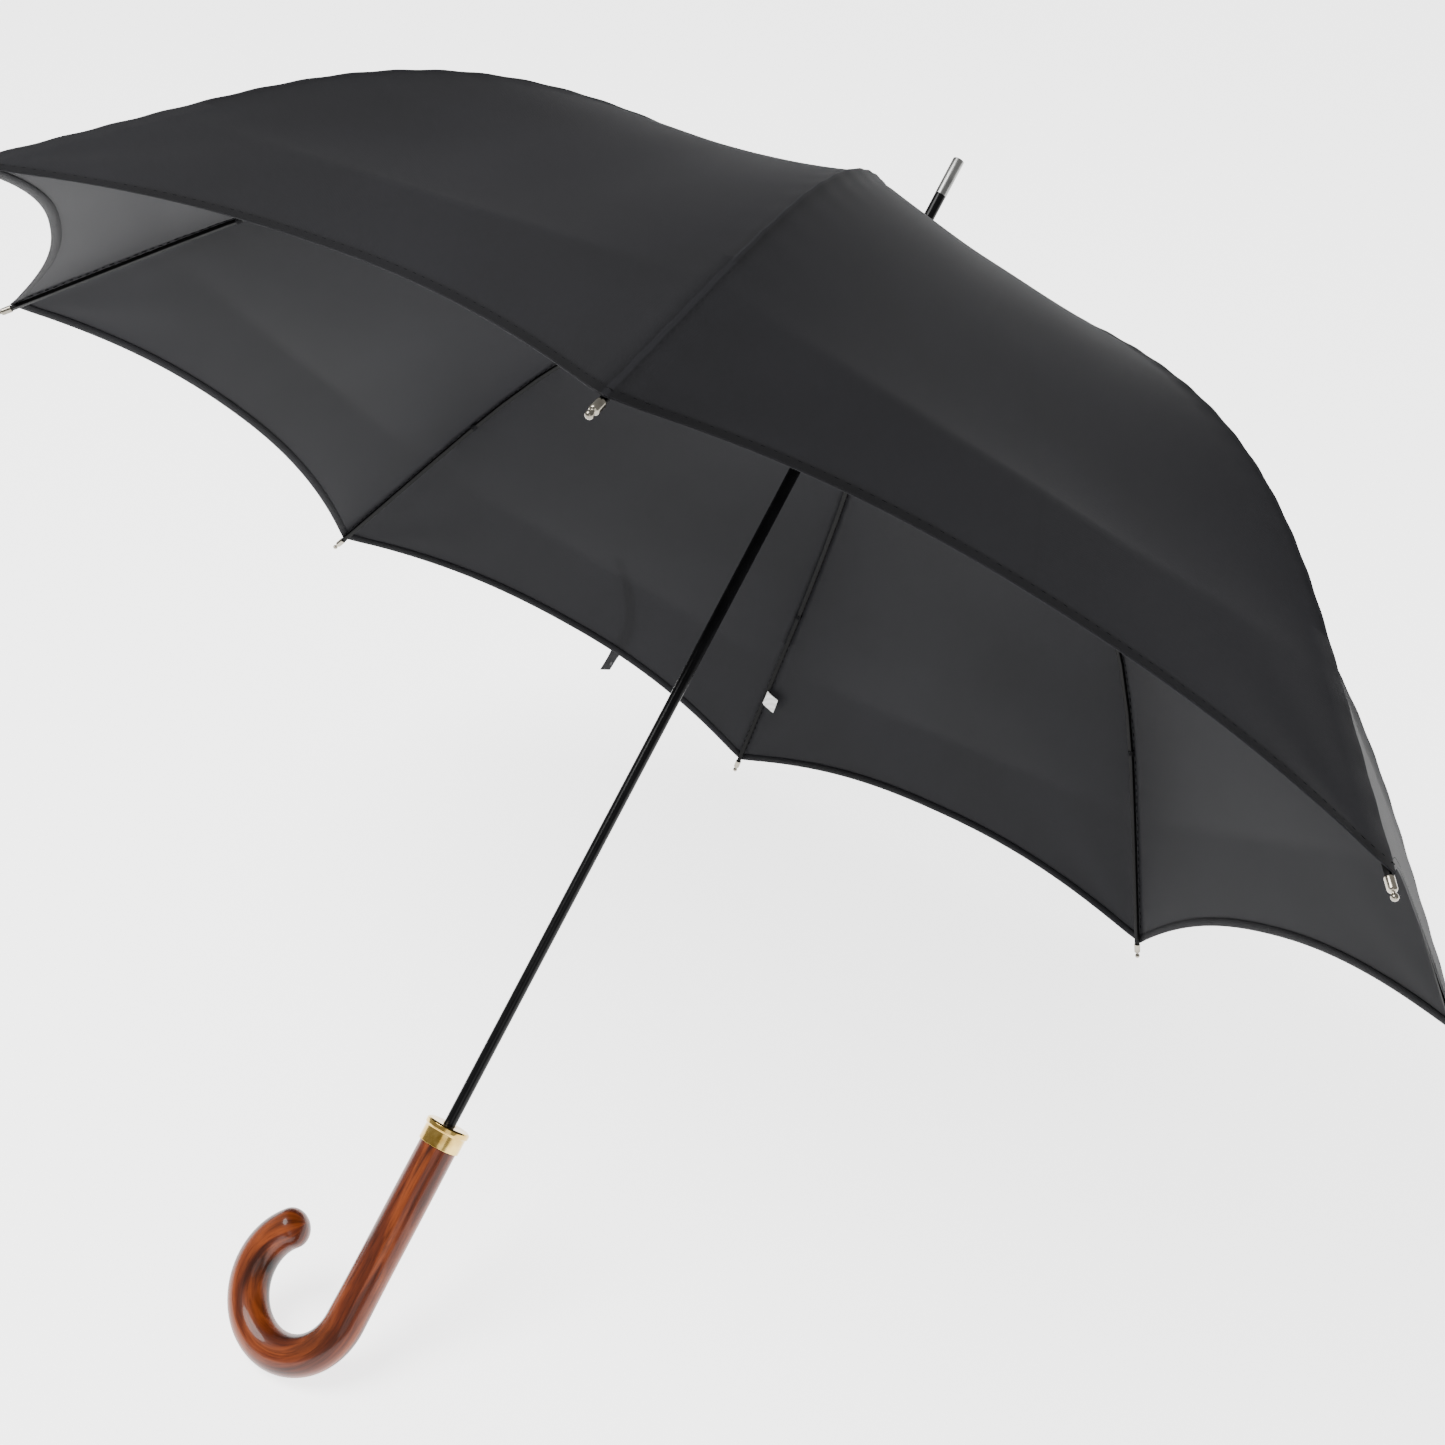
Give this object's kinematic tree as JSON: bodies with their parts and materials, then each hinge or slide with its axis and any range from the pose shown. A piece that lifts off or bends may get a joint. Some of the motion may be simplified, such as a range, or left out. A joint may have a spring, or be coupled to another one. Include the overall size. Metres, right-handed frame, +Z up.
{
  "type": "stick umbrella",
  "caption": "Open stick umbrella with a black fabric canopy, hinged ribs and stretchers, a slim black shaft with a sliding runner, and a wooden crook handle with a brass collar.",
  "frame": {"origin": "on the floor under the middle of the open umbrella as it lies on its crook and two rib tips", "axes": "+Z up; the shaft lies in the XZ plane and rises from the handle at -X to the spike at +X; the crook turns towards +Y"},
  "size_m": [0.713, 0.9468, 0.7018],
  "materials": {
    "black_steel": "glossy black enamel on steel",
    "nickel": "bright nickel plate",
    "brass": "polished brass",
    "handle_wood": "glossy red-brown varnish over bent wood",
    "canopy_cloth": "matt black plain-weave polyester",
    "black_plastic": "moulded black nylon",
    "label_tape": "white woven nylon tape"
  },
  "bodies": {
    "frame": {"shaft": "black_steel", "spike_ferrule": "nickel", "crown": "black_plastic", "crown_wire": "nickel", "top_cap": "black_plastic", "collar": "brass", "crook_handle": "handle_wood"},
    "runner": {"runner_ring": "black_plastic", "runner_tube": "nickel"},
    "top_catch": {"top_catch": "nickel"},
    "bottom_catch": {"bottom_catch": "nickel"},
    "rib_1": {"rib_1": "black_steel", "rib_rivet_1": "nickel", "rib_tip_1": "nickel", "gore_1": "canopy_cloth", "tie_strap": "canopy_cloth", "care_label": "label_tape"},
    "stretcher_1": {"stretcher_1": "black_steel"},
    "rib_2": {"rib_2": "black_steel", "rib_rivet_2": "nickel", "rib_tip_2": "nickel", "gore_2": "canopy_cloth"},
    "stretcher_2": {"stretcher_2": "black_steel"},
    "rib_3": {"rib_3": "black_steel", "rib_rivet_3": "nickel", "rib_tip_3": "nickel", "gore_3": "canopy_cloth"},
    "stretcher_3": {"stretcher_3": "black_steel"},
    "rib_4": {"rib_4": "black_steel", "rib_rivet_4": "nickel", "rib_tip_4": "nickel", "gore_4": "canopy_cloth"},
    "stretcher_4": {"stretcher_4": "black_steel"},
    "rib_5": {"rib_5": "black_steel", "rib_rivet_5": "nickel", "rib_tip_5": "nickel", "gore_5": "canopy_cloth"},
    "stretcher_5": {"stretcher_5": "black_steel"},
    "rib_6": {"rib_6": "black_steel", "rib_rivet_6": "nickel", "rib_tip_6": "nickel", "gore_6": "canopy_cloth"},
    "stretcher_6": {"stretcher_6": "black_steel"},
    "rib_7": {"rib_7": "black_steel", "rib_rivet_7": "nickel", "rib_tip_7": "nickel", "gore_7": "canopy_cloth"},
    "stretcher_7": {"stretcher_7": "black_steel"},
    "rib_8": {"rib_8": "black_steel", "rib_rivet_8": "nickel", "rib_tip_8": "nickel", "gore_8": "canopy_cloth"},
    "stretcher_8": {"stretcher_8": "black_steel"}
  },
  "joints": [
    {"name": "runner_slide", "type": "slide", "parent": "frame", "child": "runner", "axis": [-0.7259, 0, -0.6878], "range_m": [0, 0.30627]},
    {"name": "rib_1_hinge", "type": "hinge", "parent": "frame", "child": "rib_1", "pos_m": [0.23015, 0.00295, 0.54674], "axis": [-0.2632, 0.9239, 0.2778], "range_deg": [0, 57.44], "deforming": ["gore_1", "tie_strap"]},
    {"name": "stretcher_1_hinge", "type": "hinge", "parent": "rib_1", "child": "stretcher_1", "pos_m": [0.32036, 0.08654, 0.35421], "axis": [-0.2632, 0.9239, 0.2778], "range_deg": [-114.88, 0]},
    {"name": "rib_2_hinge", "type": "hinge", "parent": "frame", "child": "rib_2", "pos_m": [0.22728, 0.00711, 0.54977], "axis": [-0.6354, 0.3827, 0.6706], "range_deg": [0, 57.44], "deforming": ["gore_2"]},
    {"name": "stretcher_2_hinge", "type": "hinge", "parent": "rib_2", "child": "stretcher_2", "pos_m": [0.23618, 0.20892, 0.44305], "axis": [-0.6354, 0.3827, 0.6706], "range_deg": [-114.88, 0]},
    {"name": "rib_3_hinge", "type": "hinge", "parent": "frame", "child": "rib_3", "pos_m": [0.22323, 0.00711, 0.55405], "axis": [-0.6354, -0.3827, 0.6706], "range_deg": [0, 57.44], "deforming": ["gore_3"]},
    {"name": "stretcher_3_hinge", "type": "hinge", "parent": "rib_3", "child": "stretcher_3", "pos_m": [0.11714, 0.20892, 0.56868], "axis": [-0.6354, -0.3827, 0.6706], "range_deg": [-114.88, 0]},
    {"name": "rib_4_hinge", "type": "hinge", "parent": "frame", "child": "rib_4", "pos_m": [0.22037, 0.00295, 0.55707], "axis": [-0.2632, -0.9239, 0.2778], "range_deg": [0, 57.44], "deforming": ["gore_4"]},
    {"name": "stretcher_4_hinge", "type": "hinge", "parent": "rib_4", "child": "stretcher_4", "pos_m": [0.03297, 0.08654, 0.65752], "axis": [-0.2632, -0.9239, 0.2778], "range_deg": [-114.88, 0]},
    {"name": "rib_5_hinge", "type": "hinge", "parent": "frame", "child": "rib_5", "pos_m": [0.22037, -0.00295, 0.55707], "axis": [0.2632, -0.9239, -0.2778], "range_deg": [0, 57.44], "deforming": ["gore_5"]},
    {"name": "stretcher_5_hinge", "type": "hinge", "parent": "rib_5", "child": "stretcher_5", "pos_m": [0.03297, -0.08654, 0.65752], "axis": [0.2632, -0.9239, -0.2778], "range_deg": [-114.88, 0]},
    {"name": "rib_6_hinge", "type": "hinge", "parent": "frame", "child": "rib_6", "pos_m": [0.22323, -0.00711, 0.55405], "axis": [0.6354, -0.3827, -0.6706], "range_deg": [0, 57.44], "deforming": ["gore_6"]},
    {"name": "stretcher_6_hinge", "type": "hinge", "parent": "rib_6", "child": "stretcher_6", "pos_m": [0.11714, -0.20892, 0.56868], "axis": [0.6354, -0.3827, -0.6706], "range_deg": [-114.88, 0]},
    {"name": "rib_7_hinge", "type": "hinge", "parent": "frame", "child": "rib_7", "pos_m": [0.22728, -0.00711, 0.54977], "axis": [0.6354, 0.3827, -0.6706], "range_deg": [0, 57.44], "deforming": ["gore_7"]},
    {"name": "stretcher_7_hinge", "type": "hinge", "parent": "rib_7", "child": "stretcher_7", "pos_m": [0.23618, -0.20892, 0.44305], "axis": [0.6354, 0.3827, -0.6706], "range_deg": [-114.88, 0]},
    {"name": "rib_8_hinge", "type": "hinge", "parent": "frame", "child": "rib_8", "pos_m": [0.23015, -0.00295, 0.54674], "axis": [0.2632, 0.9239, -0.2778], "range_deg": [0, 57.44], "deforming": ["gore_8"]},
    {"name": "stretcher_8_hinge", "type": "hinge", "parent": "rib_8", "child": "stretcher_8", "pos_m": [0.32036, -0.08654, 0.35421], "axis": [0.2632, 0.9239, -0.2778], "range_deg": [-114.88, 0]},
    {"name": "top_catch_press", "type": "slide", "parent": "frame", "child": "top_catch", "axis": [-0.4863, -0.7071, 0.5133], "range_m": [0, 0.0018], "stiffness_N_per_m": 1500, "springref_m": -0.0006},
    {"name": "bottom_catch_press", "type": "slide", "parent": "frame", "child": "bottom_catch", "axis": [-0.4863, -0.7071, 0.5133], "range_m": [0, 0.0018], "stiffness_N_per_m": 1500, "springref_m": -0.0006}
  ],
  "couplings": [
    {"joint": "rib_1_hinge", "follows": "runner_slide", "rad_per_m": 3.2705},
    {"joint": "stretcher_1_hinge", "follows": "runner_slide", "rad_per_m": -6.5411},
    {"joint": "rib_2_hinge", "follows": "runner_slide", "rad_per_m": 3.2705},
    {"joint": "stretcher_2_hinge", "follows": "runner_slide", "rad_per_m": -6.5411},
    {"joint": "rib_3_hinge", "follows": "runner_slide", "rad_per_m": 3.2705},
    {"joint": "stretcher_3_hinge", "follows": "runner_slide", "rad_per_m": -6.5411},
    {"joint": "rib_4_hinge", "follows": "runner_slide", "rad_per_m": 3.2705},
    {"joint": "stretcher_4_hinge", "follows": "runner_slide", "rad_per_m": -6.5411},
    {"joint": "rib_5_hinge", "follows": "runner_slide", "rad_per_m": 3.2705},
    {"joint": "stretcher_5_hinge", "follows": "runner_slide", "rad_per_m": -6.5411},
    {"joint": "rib_6_hinge", "follows": "runner_slide", "rad_per_m": 3.2705},
    {"joint": "stretcher_6_hinge", "follows": "runner_slide", "rad_per_m": -6.5411},
    {"joint": "rib_7_hinge", "follows": "runner_slide", "rad_per_m": 3.2705},
    {"joint": "stretcher_7_hinge", "follows": "runner_slide", "rad_per_m": -6.5411},
    {"joint": "rib_8_hinge", "follows": "runner_slide", "rad_per_m": 3.2705},
    {"joint": "stretcher_8_hinge", "follows": "runner_slide", "rad_per_m": -6.5411}
  ]
}
